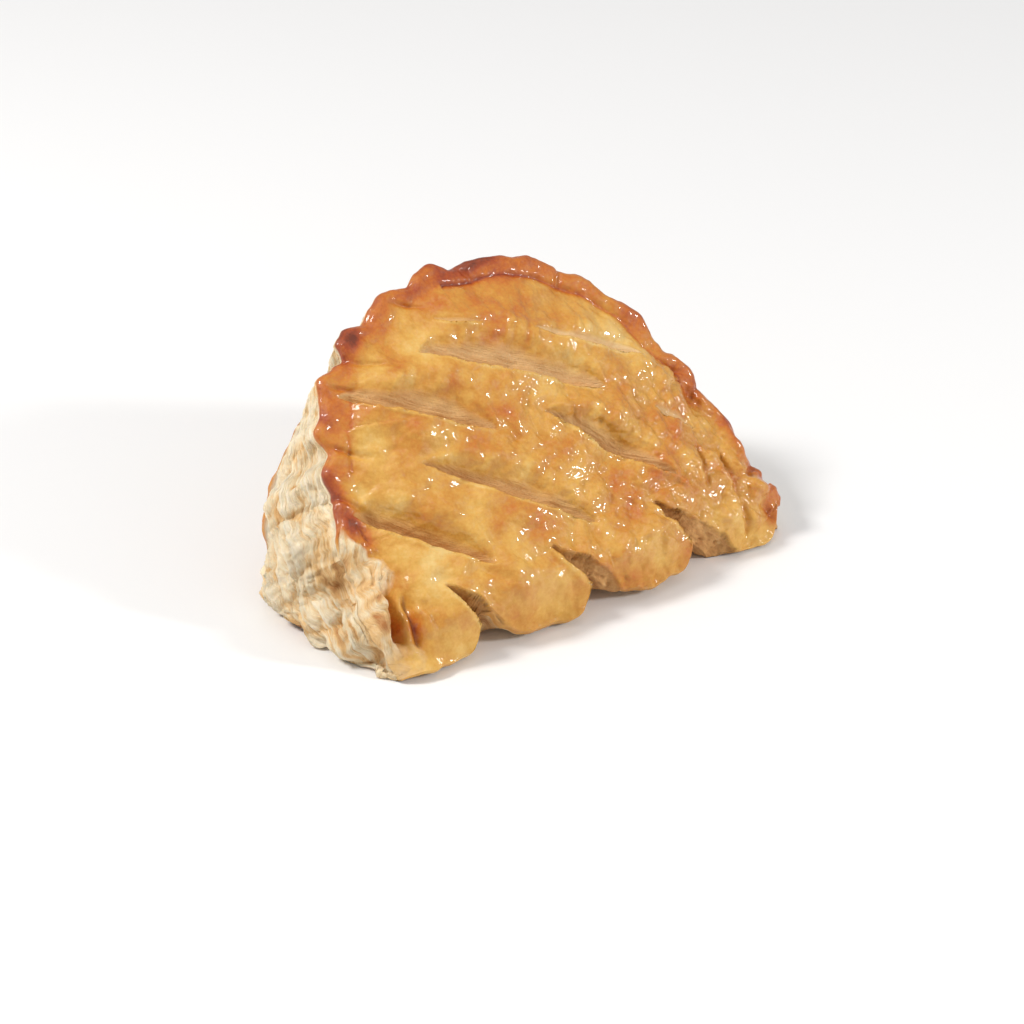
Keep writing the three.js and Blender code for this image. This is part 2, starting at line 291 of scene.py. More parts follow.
def ripples(along, waves):
    """Waves along an edge, each given as height, length and seed."""
    line = flat(along, along * 0)
    return sum(height * noise(line, length, seed) for height, length, seed in waves)


def turned(x, t, x0, t0, angle):
    """Distances along and across a line of the face through (x0, t0)."""
    c, s = math.cos(math.radians(angle)), math.sin(math.radians(angle))
    dx, dt = x - x0, t - t0
    return dx * c + dt * s, dt * c - dx * s


def unit(vectors):
    return vectors / np.linalg.norm(vectors, axis=1)[:, None]


def face_point(x, t, n):
    c, s = math.cos(FACE_TILT), math.sin(FACE_TILT)
    return np.stack([x, t * c - n * s, t * s + n * c + FACE_LIFT], -1)


# ---- outline of the face ----


def plain_rim(count):
    """Evenly spaced points from the left corner over the top to the right corner."""
    angle = np.pi * (1 - np.linspace(0, 1, 4001))
    left = angle > np.pi / 2
    reach = np.where(left, RIM_PEAK_X, FOLD_LENGTH - RIM_PEAK_X)
    power = np.where(left, RIM_LEFT_POWER, RIM_RIGHT_POWER)
    c, s = np.cos(angle), np.abs(np.sin(angle))
    x = RIM_PEAK_X + reach * np.sign(c) * np.abs(c) ** (2 / power)
    t = FACE_DEPTH * s ** (2 / power)
    along = np.concatenate([[0], np.cumsum(np.hypot(np.diff(x), np.diff(t)))])
    at = np.linspace(0, along[-1], count)
    return np.stack([np.interp(at, along, x), np.interp(at, along, t)], 1), at


def scallop_offset(at):
    """The scallops' offset along the rim, rounded between the listed places."""
    place, offset = np.array(SCALLOPS, float).T
    k = np.clip(np.searchsorted(place, at, side="right") - 1, 0, len(place) - 2)
    f = (at - place[k]) / (place[k + 1] - place[k])
    return mix(offset[k], offset[k + 1], smooth(f))


def outward_of(rim):
    """The unit direction out of the rim at each of its points."""
    way = np.gradient(rim, axis=0)
    return unit(np.stack([-way[:, 1], way[:, 0]], 1))


def outlines(count):
    """The plain and the finished outline as closed loops: the rim, then back along the fold."""
    rim_count = 3 * count // 4
    rim, at = plain_rim(rim_count + 1)
    finished = rim + outward_of(rim) * scallop_offset(at)[:, None]
    x = FOLD_LENGTH * (1 - np.linspace(0, 1, count - rim_count + 1))
    fold = np.stack([x, np.zeros_like(x)], 1)[:-1]
    return np.vstack([rim[:-1], fold]), np.vstack([finished[:-1], fold])


def fold_shaped(x, t):
    """Draws the lower part of the face in at the notches and lets the flaps between them sag."""
    lift = np.zeros_like(x)
    for place, depth, left, right in NOTCHES:
        reach = np.where(x < place, left, right)
        lift = lift + depth * np.exp(-((np.abs(x - place) / reach) ** NOTCH_POWER))
    lift = lift + TIP_CUT * clamp01((x - FOLD_LENGTH) / TIP_REACH + 1) ** 2
    flap = np.sin(np.pi * (x - FLAP_START) / FLAP_PITCH) ** 2
    ends = smooth(x / FLAP_EASE) * smooth((FOLD_LENGTH - x) / FLAP_EASE)
    lift = lift + (ripples(x, FOLD_RIPPLES) - FLAP_SAG * flap) * ends
    return t + lift * clamp01(1 - t / NOTCH_REACH) ** 2


LOOP = 4 * CELLS
PLAIN, SCALLOPED = outlines(LOOP)
FINISHED = np.stack([SCALLOPED[:, 0], fold_shaped(*SCALLOPED.T)], 1)
RIM_COUNT = 3 * LOOP // 4
RIM_LENGTH = plain_rim(3)[1][-1]


def smooth_rim():
    """The rim without its single scallops, which the crimped band's inner side follows."""
    rim = FINISHED[: RIM_COUNT + 1]
    for _ in range(RIM_SMOOTHINGS):
        inner = (rim[:-2] + 2 * rim[1:-1] + rim[2:]) / 4
        rim = np.vstack([rim[:1], inner, rim[-1:]])
    return rim


SMOOTH_RIM = smooth_rim()


def rim_distance(x, t, outline):
    """Distance inward from an outline's rim, and the place along it of the nearest point."""
    rim = outline[: RIM_COUNT + 1]
    outward = outward_of(rim)
    distance, place = np.empty(len(x)), np.empty(len(x))
    for k in range(0, len(x), CHUNK):
        part = slice(k, k + CHUNK)
        dx, dt = x[part, None] - rim[None, :, 0], t[part, None] - rim[None, :, 1]
        nearest = (dx * dx + dt * dt).argmin(1)
        row = np.arange(len(nearest))
        dx, dt = dx[row, nearest], dt[row, nearest]
        sign = np.where(dx * outward[nearest, 0] + dt * outward[nearest, 1] > 0, -1, 1)
        distance[part] = sign * np.hypot(dx, dt)
        place[part] = nearest * RIM_LENGTH / RIM_COUNT
    return distance, place


# ---- relief of the face ----


def slit_place(slit, x, t):
    """Place along a slit, -1 to 1 from end to end, and distance up from its lower lip."""
    cx, ct, length, angle = slit[:4]
    along, across = turned(x, t, cx, ct, angle)
    along = along / (length / 2)
    return along, across + SLIT_BOW * (1 - along * along)


def front_slit_place(slit, x, t):
    """The same for a front slit, whose place is 0 at its upper end and 1 near the fold."""
    ux, ut, length, angle = slit[:4]
    along, across = turned(x, t, ux, ut, angle)
    along = along / length
    return along, across + FRONT_BOW * np.sin(np.pi * clamp01(along))


def snap_to_lips(x, t):
    """Draws points close to a slit's lower lip onto it, so that the lip is crisp."""
    x, t = x.copy(), t.copy()
    lips = [(slit, slit_place, -0.97, 0.97) for slit in SLITS]
    lips += [(slit, front_slit_place, 0.04, 0.9) for slit in FRONT_SLITS]
    for slit, find, first, last in lips:
        along, across = find(slit, x, t)
        near = (along > first) & (along < last) & (np.abs(across) < LIP_SNAP)
        a = math.radians(slit[3])
        x[near] += SNAP_SHARE * across[near] * math.sin(a)
        t[near] -= SNAP_SHARE * across[near] * math.cos(a)
    return x, t


def slit_profile(across, width, depth):
    """Height across a slit, how far inside it a point is, and how close to its shoulder."""
    s = across / width
    strip = 0.07 * depth * bell((across + 4.5) / 3.5)
    below = SLIT_LIP * np.exp(np.minimum(across, 0) / 1.3) + strip
    drop = smooth(across / 0.45)
    rise = step(s, -0.1, 1.55)
    above = (SLIT_LIP - 0.1 * depth) * (1 - drop) - depth * (1 - rise) * drop
    above = above + 0.14 * depth * bell((s - 1.8) / 0.5)
    inside = step(across, 0.05, 0.3) * step(s, 1.12, 0.42)
    shoulder = step(s, 0.85, 1.2) * step(s, 2.1, 1.5)
    return np.where(across < 0, below, above), inside, shoulder


def front_profile(across, width):
    """Height across a front slit, whose cut side rises crisply, and how far inside it is."""
    s = across / width
    past = across - width
    below = SLIT_LIP * np.exp(np.minimum(across, 0) / 1.5)
    drop = smooth(across / 0.5)
    cut = SLIT_LIP * (1 - drop) - FRONT_DEPTH * (1 - 0.85 * clamp01(s) ** 1.4) * drop
    over = 0.9 * SLIT_LIP * np.exp(-np.maximum(past, 0) / 2.2)
    height = np.where(across < 0, below, mix(cut, over, step(past, -0.25, 0.25)))
    return height, step(across, 0.05, 0.3) * step(past, 0.15, -0.35)


def lump(x, t, cx, ct, across, up, turn):
    """A soft mound, 1 at its middle."""
    u, v = turned(x, t, cx, ct, -turn)
    return bell(np.hypot(u / across, v / up))


def crease(x, t, start, end, width):
    """Closeness, 0 to 1, to a short crease between two face points."""
    (ax, at), (bx, bt) = start, end
    length = math.hypot(bx - ax, bt - at)
    ux, ut = (bx - ax) / length, (bt - at) / length
    along = (x - ax) * ux + (t - at) * ut
    across = (x - ax) * -ut + (t - at) * ux
    ends = smooth(along / 4 + 0.5) * smooth((length - along) / 4 + 0.5)
    return bell(across / width) * ends


# Knobs and hollows near the foot of the end wall: centre, size, height.
WALL_KNOBS = [
    (-9, 46, 6, 6, 2.5), (-9, 34, 4, 4.5, 2), (-9, 20, 4, 5, 3), (-7, 27, 3, 2.6, -2.4),
    (-3, 10.5, 2, 5, -2), (-8, 30, 22, 6, 1.5), (-7, 40, 34, 7, 2),
]

LUMPS = [  # centre (x, t), half sizes across and up, turn, height
    (-0.3, 17.5, 2.4, 6.6, 8, 6.8), (0.4, 23.6, 2.4, 3, 0, 3.2),
    (5.9, 14.5, 1.5, 6.5, 4, 1.6), (10.8, 12, 1.8, 7.5, 8, 1.8), (18, 9, 6, 6.5, 20, 2.2),
    (13, 22, 3, 4, -30, 1), (26, 22, 3.2, 2.4, -40, 1.1), (44, 9, 9, 7, 20, 1.9),
    (82, 9, 9, 7, 20, 2.1), (117, 24, 2.4, 8, -22, 2.8), (125.5, 21, 2.6, 7.5, -25, 3.4),
    (109, 26, 2.6, 8, -20, 2), (129.5, 13, 4, 3.2, 0, 4.2), (124, 5.5, 4, 3.5, 0, 2.4),
    (114, 7, 4.5, 4.5, 0, 2.4), (130, 28, 3.2, 4.4, 10, 3.4), (60, 30, 5, 3, -30, 1.5),
    (101, 24, 2.2, 7, -24, 1.8), (93, 47, 6, 3, -40, 1.3), (126, 31, 3, 4, -20, 1.8),
    (40, 16, 4, 5, -25, 1.3), (53, 7, 3, 5, -20, 1.2), (74, 8, 3, 6, -25, 1.4),
    (75, 27, 4, 3, -40, 1.4), (76, 53, 5, 3, -35, 1.2), (97, 30, 4, 6, -20, 1.5),
    (33, 78, 5, 3, -30, 1.2), (66, 14, 3, 6, -25, 1.4), (88, 12, 2.6, 7, -20, 1.2),
    (30, 38, 5, 4, -30, 1), (110, 60, 4, 6, -15, 1.2),
]

# Where the crust is browner (or, below zero, paler) than around it, laid out like the lumps.
# the paler patches at (108, 38) and (119, 30) partly stand in for highlights: painted highlight
PATCHES = [
    (29, 37, 7, 6, -30, 0.14), (40, 28, 8, 4, -35, 0.14), (49, 72, 10, 4.5, -30, 0.14),
    (72, 82, 9, 4.5, -25, 0.16), (84, 52, 9, 6, -35, 0.12), (108, 38, 9, 8, -30, -0.06),
    (119, 30, 10, 10, -20, -0.06), (106, 16, 9, 7, -20, 0.08), (79, 7, 11, 6, -15, 0.02),
    (54, 24, 6, 7, -20, 0.12), (19, 9, 9, 8, 0, -0.10), (44, 7, 8, 5, 0, 0.02),
    (72, 92, 22, 4.5, -8, -0.04), (47, 86, 9, 4.5, -25, -0.18), (17, 66, 7, 8, -10, -0.11),
    (10, 50, 4, 6, -20, -0.14), (20, 25, 7, 5, -40, -0.22), (70, 49, 7, 4, -35, -0.06),
    (105, 70, 7, 5, -30, -0.14), (113, 49, 4, 6, -20, -0.12), (12, 31, 5, 6, -30, -0.20),
    (28.8, 93.5, 3.4, 3.4, 0, 0.34), (13.5, 82, 2.2, 3.5, 0, 0.24), (10, 75.5, 1.5, 4, 0, 0.22),
    (4, 57, 2, 5, 0, 0.22), (3.6, 43, 3.2, 7.5, -6, 0.30), (62, 102, 14, 5.5, 0, 0.20),
    (76.5, 102.6, 6, 1.8, -8, 0.16), (129.5, 10, 4, 4, 0, 0.02), (131, 33, 3, 5, 0, 0.20),
    (3.4, 15.5, 2.2, 7.5, 6, 0.30), (7.8, 12.5, 1.4, 6, 0, 0.20), (73, 95, 20, 6, -8, 0.07),
    (52, 54, 12, 7, -35, 0.16), (17, 46, 9, 6, -35, 0.05), (4, 44, 4, 14, -6, 0.08),
    (0.8, 19, 1, 6, 6, 0.20), (0.6, 25.6, 2, 1.6, 0, 0.18), (22, 5, 3, 4, 0, 0.10),
    (88, 4, 9, 5, 0, -0.08),
]

CREASES = [  # start, end, depth, width
    ((45.2, 99.4), (52.7, 95), 1, 0.7), ((25.8, 86.5), (33.6, 83), 1, 0.7),
    ((15.1, 82.7), (21.6, 79.1), 1, 0.7), ((8.4, 66.6), (16.1, 60), 1.1, 0.8),
    ((1.9, 54.5), (10.3, 45.9), 1.2, 0.8), ((5.5, 43.4), (6.3, 37), 1, 0.7),
    ((118.8, 56.5), (122.8, 52.6), 1, 0.7), ((121.8, 48.6), (123.9, 40.9), 1, 0.7),
    ((69, 104.5), (71.5, 99), 0.8, 0.7), ((100.5, 94), (97, 89), 0.8, 0.8),
    ((126, 47.5), (121, 45), 0.8, 0.8), ((3.9, 23), (2.8, 9.5), 4.4, 1.8),
    ((8.2, 20), (7.2, 6.5), 2, 1), ((11, 18), (12.5, 9), 0.8, 0.6),
    ((122, 28), (120, 13), 2, 1.1), ((113.5, 31), (111, 19), 1.8, 1),
    ((133, 21), (126.5, 17.5), 2, 1.1), ((121, 11), (119.5, 2), 1.8, 1.1),
    ((128.5, 8.5), (131, 4), 1.2, 0.9), ((64, 24), (60, 12), 0.7, 1.5),
    ((71, 22), (66, 8), 0.8, 1.7), ((83, 22), (78, 9), 0.7, 1.5),
    ((57.5, 55), (60, 47), 0.6, 1.2), ((79, 60), (80.5, 54), 0.6, 1),
    ((31, 19), (37, 13), 0.7, 1.3), ((41, 21), (45, 15), 0.7, 1.2),
    ((22, 52), (25, 47), 0.6, 1.2), ((68, 62), (64.5, 56), 0.5, 1.2),
]


def face_relief(x, t):
    """Height of the face and the maps that colour it."""
    p = flat(x, t)
    rim, place = rim_distance(x, t, FINISHED)
    edge_in = np.maximum(rim, 0)
    rim = rim_distance(x, t, SMOOTH_RIM)[0]
    run = flat(place, place * 0)
    low_left = step(place, *OPEN_END)
    band = mix(RIM_BAND_LEFT, RIM_BAND, smooth(x / 60)) + BAND_SWAY * noise(run, 11, 3)
    inward = np.maximum(0, rim - band)
    swell = 1 - np.exp(-inward * inward / (inward + PUFF_START) / PUFF_REACH)
    inside = smooth((rim - band * 0.5) / band)
    n = PUFF * swell - FOLD_DROP * swell * clamp01(1 - t / FOLD_ROUND) ** 2
    bumps = 1.2 * noise(p, 23, 31) + 1.3 * fbm(p, 12, 32, 3)
    n = n + inside * bumps

    # the crimped band: rounded at its edge, creased where it meets the puffed middle
    turn = clamp01(1 - edge_in / mix(*EDGE_ROUND, low_left))
    n = n - mix(*EDGE_FALL, low_left) * (1 - np.sqrt(1 - turn**2))
    crease_on = 0.12 + 0.55 * between(place, *LEFT_CREASE) + between(place, *RIGHT_CREASE)
    crease_on = between(place, 26, 44, RIM_LENGTH - 36, RIM_LENGTH - 22) * clamp01(crease_on)
    n = n - crease_on * bell((rim - band) / 0.9) * (0.9 + 0.4 * noise(p, 9, 33))
    offset = scallop_offset(place)
    notch = clamp01((0.6 - offset) / 2.4)
    radial = clamp01(1 - edge_in / (band * 0.8))
    n = n + (1 - low_left) * radial * (0.5 * clamp01((offset - 1.5) / 2.5) - 0.8 * notch)
    n = n + (1 - inside) * (1 - low_left) * 0.45 * fbm(p, 5, 35, 2)
    # painted shade: a darker line along the crease where the band meets the puffed middle
    line = bell((rim - band) / 0.45) * crease_on

    # below the rim's end on the left the sheet opens into its layers
    open_end = step(place, 48, 38)
    open_layers = step(edge_in, 12, 4) * open_end * smooth(t / 10)
    curl_warp = 1.6 * noise(p, 8, 36) + 0.6 * noise(p, 3, 37)
    leaves = saw((edge_in + curl_warp) / RIM_LAYER_PITCH)
    n = n + open_layers * (leaves - 0.5 + 0.9 * fbm(p, 4, 38, 3))

    zero = np.zeros_like(x)
    maps = {"inner": zero, "line": 0.6 * line, "pale_and_highlight": zero, "cut_tone_and_shade": zero + 0.5, "crumb": zero}
    # tan, and darker between the open layers as painted shade
    maps["tan_and_recess_shade"] = 0.45 + 0.45 * (1 - leaves) + 0.25 * fbm(p, 5, 39, 2)
    maps["browning_and_shade"] = clamp01(0.18 + 0.5 * fbm(p, 5, 40, 3)) * open_layers
    grain = p.copy()
    flaky = open_layers > 0.05
    grain[flaky] = flat(place, GRAIN_STRETCH * (edge_in + 1.5 * curl_warp) + 700)[flaky]

    def raise_map(name, value):
        maps[name] = np.maximum(maps[name], value)

    wobble = 0.5 * noise(p, 6, 41) + 0.22 * noise(p, 1.8, 42)
    for k, slit in enumerate(SLITS):
        length, _, width, depth, cut_tone_and_shade = slit[2:]
        along, across = slit_place(slit, x, t)
        s_mm = along * length / 2
        open_ = clamp01(1 - along * along) ** 0.6
        run = flat(s_mm, zero + 40 * k)
        wide = np.maximum(width * open_ * (1 + 0.25 * noise(run, 9, 43)), SLIT_LEAST)
        h, deep, shoulder = slit_profile(across + wobble * 0.35, wide, depth)
        on = np.abs(along) < 1
        fade = open_ * on
        n = n + mix(0.35, 1, inside) * fade * h
        here = deep * on * smooth(open_ / 0.35) * clamp01(0.25 + depth / 3)
        # painted shade: the cut layers darken towards the lower lip
        shade = cut_tone_and_shade + 0.7 * (0.5 - across / wide)
        maps["cut_tone_and_shade"] = np.where(here > maps["inner"], clamp01(shade), maps["cut_tone_and_shade"])
        raise_map("inner", here)
        # a few short puckers on the shoulder over the slit, painted paler on top as a painted
        # highlight
        cell = s_mm / PUCKER_PITCH + 0.6 * noise(run, 7, 44)
        which = np.floor(cell).astype(np.int64)
        strength = smooth((lattice(which, which * 0 + k, which * 0, 45) - 0.45) / 0.4)
        part = cell - which
        pucker = smooth(part / 0.3) * smooth((1 - part) / 0.3) * strength
        n = n + fade * shoulder * (0.30 * pucker - 0.10) * smooth(depth / 3)
        raise_map("pale_and_highlight", 0.4 * fade * shoulder * pucker)
        edge = fade * bell((across + 0.45) / 0.45) * (0.6 + 0.4 * noise(run, 4, 46))
        raise_map("pale_and_highlight", edge)
        near = on & (deep > 0.05)
        grain[near] = flat(s_mm, across * 2 + 100 * k)[near]

    for k, slit in enumerate(FRONT_SLITS):
        length, _, width = slit[2:]
        along, across = front_slit_place(slit, x, t)
        grow = smooth((along + 0.02) / 0.6)
        run = flat(along * length, zero + 9 * k)
        wide = mix(1.2, width, grow) * (1 + 0.12 * noise(run, 5, 47))
        h, deep = front_profile(across + wobble * 0.5, wide)
        on = along < FRONT_END
        fade = smooth(along / 0.25) * on
        n = n + fade * h
        here = deep * smooth(along / 0.10) * on
        # painted shade: the cut face darkens towards the lip
        shade = 1.0 - 0.25 * across / wide
        maps["cut_tone_and_shade"] = np.where(here > maps["inner"], clamp01(shade), maps["cut_tone_and_shade"])
        raise_map("inner", here)
        raise_map("crumb", here)
        raise_map("pale_and_highlight", 0.7 * fade * bell((across + 0.5) / 0.5))
        near = (deep > 0.05) & (along > 0) & on
        grain[near] = flat(along * length, across * 1.2 + 300 + 100 * k)[near]

    for *shape, height in LUMPS:
        n = n + height * lump(x, t, *shape)
    for start, end, depth, width in CREASES:
        c = crease(x, t, start, end, width)
        n = n - depth * c
        # painted shade: the deeper creases also get the darker line
        raise_map("line", 0.22 * c * (depth > 0.85))

    # browning: rim, swellings and the right end are darker
    warm = 0.35 + 0.035 * bumps + 0.09 * noise(p, 22, 51) + 0.12 * fbm(p, 9, 52, 3)
    warm = warm + 0.03 * smooth((x - 80) / 45) * smooth((80 - t) / 40)
    warm = warm + 0.03 * smooth((20 - t) / 20) * smooth(x / 30)
    warm = warm - 0.03 * smooth((7 - t) / 6)
    band_on = 1 - smooth((rim - band * 0.35) / (band * 1.1))
    upper = smooth((place - 34) / 16)
    brown = 0.59 + 0.13 * noise(flat(place, rim * 2), 12, 53) + 0.06 * notch * radial
    warm = mix(warm, brown, band_on * upper)
    # painted shade: darker along the band's crease
    warm = warm + crease_on * bell((rim - band) / 1.6) * 0.10
    uneven = 1 + 0.35 * noise(p, 4, 54)
    for *shape, amount in PATCHES:
        warm = warm + amount * lump(x, t, *shape) * uneven
    maps["toast"] = warm
    torn = mix(1.4, 10.5, low_left) + 2.6 * low_left * fbm(p, 6, 55, 3)
    layer = smooth((torn - edge_in) / mix(1.4, 6.0, low_left)) * open_end
    layer = layer * (1 - 0.9 * lump(x, t, 4.5, 15, 3.2, 10, 4))
    maps["layer"] = layer * mix(0.4, 1, step(t, 4, 12))
    dull = step(x, 20, 4) * between(t, 14, 24, 27, 42)
    gloss = clamp01(0.8 + 0.2 * step(x, 60, 100) - 0.6 * dull)
    maps["gloss"] = gloss * mix(0.45, 1, step(t, 2, 8)) * mix(0.7, 1, inside)
    return n, maps, grain


# ---- the closed body ----


def face_grid():
    """The face as a square grid whose sides follow the outline: three the rim, one the fold."""
    side = np.linspace(-1, 1, CELLS + 1)
    a, b = np.meshgrid(side, side)
    a, b = a.ravel(), b.ravel()
    r = np.maximum(np.abs(a), np.abs(b))
    safe = np.maximum(r, TINY)
    u, v = a / safe, b / safe
    sides = [u <= -1 + TINY, v >= 1 - TINY, u >= 1 - TINY]
    places = [(v + 1) / 8, 0.25 + (u + 1) / 8, 0.5 + (1 - v) / 8]
    s = np.select(sides, places, 0.75 + (1 - u) / 8)
    # the centre has no direction of its own
    s = np.where(r < TINY, 0.0, s) % 1.0
    knots = np.arange(LOOP + 1) / LOOP
    plain, done = (
        np.stack([np.interp(s, knots, np.append(v, v[0])) for v in line.T], 1)
        for line in (PLAIN, SCALLOPED)
    )
    centre = np.array(FACE_CENTRE)
    at = centre + r[:, None] * (plain - centre) + (r**SCALLOP_FADE)[:, None] * (done - plain)
    x, t = at[:, 0], fold_shaped(*at.T)
    sx, st = snap_to_lips(x, t)
    keep = r > EDGE_KEPT
    return np.where(keep, x, sx), np.where(keep, t, st)


def face_index(i, j):
    return j * (CELLS + 1) + i


def loop_indices():
    """The face grid's outer vertices in the order of the outline."""
    k = np.arange(CELLS)
    sides = ((0, k), (k, CELLS), (CELLS, CELLS - k), (CELLS - k, 0))
    return np.concatenate([face_index(i, j) for i, j in sides])


def back_edge(u):
    """Where each rim column meets the back, and its foot, as arrays of x, y, z and foot x."""
    left, right = -END_OVERHANG, FOLD_LENGTH
    f = clamp01(u / CORNER)
    swell = END_SWELL * np.sin(np.pi * f**0.6)
    ax, ay = mix(FOOT_START, left, f) - swell, mix(FOOT_CORNER, BACK_DEPTH, f)
    g = clamp01((1 - u) / CORNER)
    cy = mix(FOOT_CORNER, BACK_DEPTH, g)
    over = clamp01((u - CORNER) / (1 - 2 * CORNER))
    angle = np.pi * (1 - over)
    c, s = np.cos(angle), np.maximum(np.sin(angle), 0)
    bx = (left + right) / 2 + (right - left) / 2 * np.sign(c) * np.abs(c) ** (2 / BACK_POWER)
    bz = FOOT_HEIGHT + BACK_HEIGHT * s ** (2 / BACK_POWER)
    by = BACK_DEPTH + bz * math.tan(BACK_LEAN)
    first, last = u < CORNER, u > 1 - CORNER
    x = np.where(first, ax, np.where(last, right, bx))
    y = np.where(first, ay, np.where(last, cy, by))
    z = np.where(first | last, FOOT_HEIGHT, bz)
    foot = np.where(first, ax, np.where(last, right, mix(left, right, over)))
    return np.stack([x, y, z], 1), foot


def shares(count):
    return [j / count for j in range(1, count + 1)]


def outside(edge_height):
    """Rows from the face's edge round the outside to the base: kind, share of it, points."""
    edge = FINISHED
    rim_side = np.arange(LOOP) < RIM_COUNT
    u = np.where(rim_side, np.arange(LOOP) / RIM_COUNT, 0.0)
    along = np.arange(LOOP) * RIM_LENGTH / RIM_COUNT
    outward = unit(edge - np.array(FACE_CENTRE))
    height = face_point(edge[:, 0], edge[:, 1], edge_height)[:, 2]
    room = np.maximum(height / math.cos(FACE_TILT) - 1.2, 0.8)
    low_left = step(along, *OPEN_END) * rim_side
    thick = np.where(rim_side, mix(EDGE_THICK, EDGE_THICK_OPEN, low_left), EDGE_THICK_FOLD)
    thick = np.minimum(thick, room) * (1 + 0.2 * noise(flat(along, along * 0), 8, 61))

    rows = []
    for f in shares(EDGE_ROWS):
        bulge = EDGE_BULGE * math.sin(math.pi * f) * np.where(rim_side, 1 - 0.8 * low_left, 0.6)
        x, t = (edge + outward * bulge[:, None]).T
        start = face_point(x, t, edge_height - thick * (1 - math.cos(math.pi * f)) / 2)
        rows.append(("edge", f, start))
    ends, foot = back_edge(u)
    spread = ends - np.array([FOLD_LENGTH / 2, BACK_DEPTH, RIPPLE_CENTRE])
    spread[:, 1] = 0
    raised = smooth((ends[:, 2] - FOOT_HEIGHT) / 8)
    ends = ends + unit(spread) * (ripples(along, BACK_RIPPLES) * raised)[:, None]
    ends[:, 1] -= BACK_TURN * raised
    fold_f = (np.arange(LOOP) - RIM_COUNT) / (LOOP - RIM_COUNT)
    fold_x = mix(FOLD_LENGTH, FOOT_START, fold_f)
    from_corner = np.minimum(fold_x, FOLD_LENGTH - fold_x)
    setback = FOOT_CORNER + FOOT_EASE * (from_corner - FOOT_EASE_FROM)
    setback = np.clip(setback, FOOT_CORNER, FOOT_SETBACK)
    fold_end = np.stack([fold_x, setback, np.full(LOOP, FOOT_HEIGHT)], 1)
    end = np.where(rim_side[:, None], ends, fold_end)
    foot = np.where(rim_side, foot, fold_end[:, 0])
    span = np.linalg.norm(end - start, axis=1)
    for f in shares(WALL_ROWS):
        base = start + (end - start) * f
        rise = 0.8 * np.maximum(0, base[:, 2] - 20)
        way = unit(np.stack([base[:, 0] - FOLD_LENGTH / 2, rise, rise], 1))
        push = WALL_BULGE * span * np.sin(math.pi * f ** mix(0.85, 0.8, low_left)) * rim_side
        push = push * (1 - 0.75 * step(u, 0.5, 0.75)) * (1 - 0.4 * step(base[:, 2], 40, 55))
        rows.append(("wall", f, base + way * push[:, None]))
    middle = np.array([FOLD_LENGTH / 2, BACK_DEPTH / 2, 0.0])
    ground = np.stack([foot, np.minimum(end[:, 1], BACK_DEPTH), np.zeros(LOOP)], 1)
    ground = ground + unit(middle - ground) * BASE_INSET
    for f in shares(BACK_ROWS):
        point = end + (ground - end) * f
        point[:, 1] += BACK_BULGE * math.sin(math.pi * math.sqrt(f)) * smooth(end[:, 2] / 40)
        inset = clamp01(f * np.linalg.norm(ground - end, axis=1) / BACK_ROUND)
        rounded = np.sqrt(1 - (1 - inset) ** 2) * smooth((1 - f) / 0.1)
        point[:, 1] += BACK_TURN * rounded * smooth((end[:, 2] - FOOT_HEIGHT) / 8)
        rows.append(("back", f, point))
    for f in shares(BASE_ROWS)[:-1]:
        rows.append(("base", f, ground + (middle - ground) * f))
    return rows, span, along, rim_side


